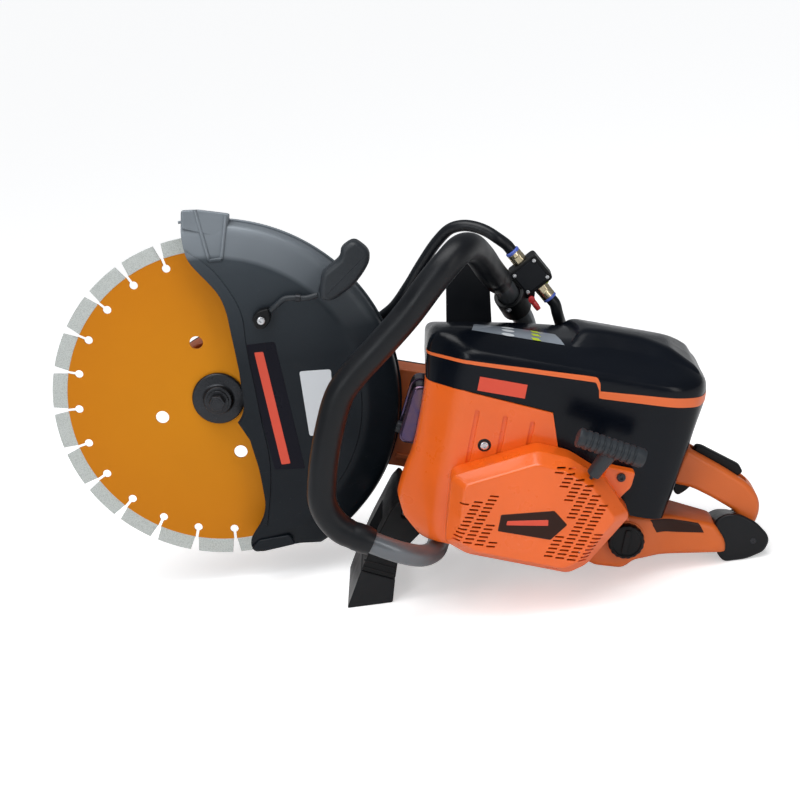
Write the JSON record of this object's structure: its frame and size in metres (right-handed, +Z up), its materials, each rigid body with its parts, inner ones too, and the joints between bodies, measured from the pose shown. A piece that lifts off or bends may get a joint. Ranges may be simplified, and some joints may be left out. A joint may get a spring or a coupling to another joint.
{
  "type": "concrete cut-off saw",
  "caption": "Petrol-driven hand-held cut-off saw: segmented diamond blade in a tilting guard, belt-driven by a two-stroke engine behind it, with front and rear handles.",
  "frame": {"origin": "on the floor, under the centre of the standing saw's bounding box", "axes": "+X to the rear handle, +Y to the belt side (operator's right), +Z up; the saw stands on its front foot and rear damper, leaning back 18 degrees"},
  "size_m": [0.7192, 0.2858, 0.4178],
  "materials": {
    "blade_paint": "satin orange-yellow lacquer on a steel core, bare grey segments",
    "dark_steel": "blackened",
    "steel": "machined",
    "cast_aluminium": "as cast",
    "guard_paint": "satin dark grey paint on a pressed alloy guard",
    "black_plastic": "fine grain",
    "black_rubber": "ribbed",
    "rope": "braided",
    "red_plastic": "glossy",
    "muffler_steel": "heat tinted",
    "filter_foam": "foam",
    "orange_casting": "orange powder coat on a die casting",
    "black_gloss": "glossy",
    "belt_rubber": "ribbed belt",
    "orange_gloss": "glossy",
    "orange_matte": "satin",
    "grey_tube": "satin grey paint",
    "brass": "polished",
    "hose_rubber": "smooth",
    "black_paint": "satin black moulding"
  },
  "bodies": {
    "machine": {"crankcase": "cast_aluminium", "cylinder": "cast_aluminium", "spark_plug": "steel", "muffler": "muffler_steel", "carburettor": "cast_aluminium", "air_filter": "filter_foam", "cutting_arm": "orange_casting", "belt_cover": "black_gloss", "belt_cover_screw_1": "steel", "belt_cover_screw_2": "steel", "belt_cover_screw_3": "steel", "spindle_bearing": "steel", "drive_belt": "belt_rubber", "top_cover": "black_gloss", "side_shroud": "orange_gloss", "starter_cover": "orange_gloss", "fuel_tank": "orange_matte", "rear_handle": "orange_matte", "rear_damper": "black_rubber", "front_handle": "grey_tube", "handle_sleeve": "black_rubber", "splash_guard": "black_plastic", "valve_body": "black_plastic", "hose_fitting_blade": "brass", "hose_fitting_supply": "brass", "valve_bracket": "black_plastic", "water_hose": "hose_rubber", "arm_hose_fitting": "brass", "supply_hose": "hose_rubber", "hose_connector": "brass", "stand_foot": "black_paint", "foot_pad": "black_rubber", "foot_screw": "steel"},
    "blade_rotor": {"blade": "blade_paint", "inner_flange": "dark_steel", "outer_flange": "dark_steel", "arbor_bolt": "dark_steel", "spindle": "steel", "blade_pulley": "cast_aluminium"},
    "clutch_rotor": {"clutch_drum": "dark_steel"},
    "crank_rotor": {"crankshaft": "steel", "flywheel": "cast_aluminium", "clutch_hub": "steel"},
    "piston_slide": {"piston": "cast_aluminium"},
    "guard": {"guard_left": "guard_paint", "guard_right": "guard_paint", "guard_grip": "black_plastic", "water_pipe_left": "dark_steel", "nozzle_left": "black_plastic", "nozzle_screw_left": "steel", "nozzle_right": "black_plastic"},
    "starter_pull": {"starter_handle": "black_plastic", "starter_rope": "rope"},
    "starter_reel": {"starter_pulley": "black_plastic"},
    "tank_cap": {"fuel_cap": "black_plastic"},
    "trigger": {"throttle_trigger": "black_plastic"},
    "lock": {"trigger_lock": "black_plastic"},
    "water_lever": {"valve_lever": "red_plastic"},
    "stop_slider": {"stop_switch": "red_plastic"},
    "choke": {"choke_knob": "black_plastic"}
  },
  "joints": [
    {"name": "blade_spin", "type": "hinge", "parent": "machine", "child": "blade_rotor", "pos_m": [-0.18465, 0.0786, 0.20781], "axis": [0, -1, 0], "continuous": true},
    {"name": "drum_spin", "type": "hinge", "parent": "machine", "child": "clutch_rotor", "pos_m": [0.1311, 0.0786, 0.10521], "axis": [0, -1, 0], "continuous": true},
    {"name": "crank_spin", "type": "hinge", "parent": "machine", "child": "crank_rotor", "pos_m": [0.1311, 0.0786, 0.10521], "axis": [0, -1, 0], "continuous": true},
    {"name": "piston_stroke", "type": "slide", "parent": "machine", "child": "piston_slide", "axis": [-0.309, 0, -0.9511], "range_m": [0, 0.034]},
    {"name": "guard_tilt", "type": "hinge", "parent": "machine", "child": "guard", "pos_m": [-0.18465, 0.0786, 0.20781], "axis": [0, -1, 0], "range_deg": [0, 50]},
    {"name": "starter_pull", "type": "slide", "parent": "machine", "child": "starter_pull", "axis": [0.6082, -0.26, 0.75], "range_m": [0, 0.7], "stiffness_N_per_m": 20, "springref_m": -0.2},
    {"name": "starter_reel_turn", "type": "hinge", "parent": "machine", "child": "starter_reel", "pos_m": [0.1311, 0.0786, 0.10521], "axis": [0, -1, 0], "range_deg": [-5, 1700]},
    {"name": "tank_cap_turn", "type": "hinge", "parent": "machine", "child": "tank_cap", "pos_m": [0.21375, -0.0714, 0.04892], "axis": [0, 1, 0], "range_deg": [0, 90]},
    {"name": "throttle_squeeze", "type": "hinge", "parent": "machine", "child": "trigger", "pos_m": [0.27918, -0.0194, 0.09495], "axis": [0, -1, 0], "range_deg": [0, 18], "stiffness_Nm_per_rad": 0.8, "springref_deg": -11.46},
    {"name": "lock_press", "type": "hinge", "parent": "machine", "child": "lock", "pos_m": [0.298, -0.0194, 0.11407], "axis": [0, 1, 0], "range_deg": [0, 8], "stiffness_Nm_per_rad": 0.8, "springref_deg": -11.46},
    {"name": "water_valve_turn", "type": "hinge", "parent": "machine", "child": "water_lever", "pos_m": [0.15388, 0.0396, 0.27812], "axis": [0, -1, 0], "range_deg": [0, 90]},
    {"name": "stop_slide", "type": "slide", "parent": "machine", "child": "stop_slider", "axis": [0.9511, 0, -0.309], "range_m": [0, 0.006]},
    {"name": "choke_pull", "type": "slide", "parent": "machine", "child": "choke", "axis": [0, 1, 0], "range_m": [0, 0.012]}
  ],
  "couplings": [
    {"joint": "drum_spin", "follows": "blade_spin", "ratio": 1.7992},
    {"joint": "starter_reel_turn", "follows": "starter_pull", "rad_per_m": 38.835}
  ]
}
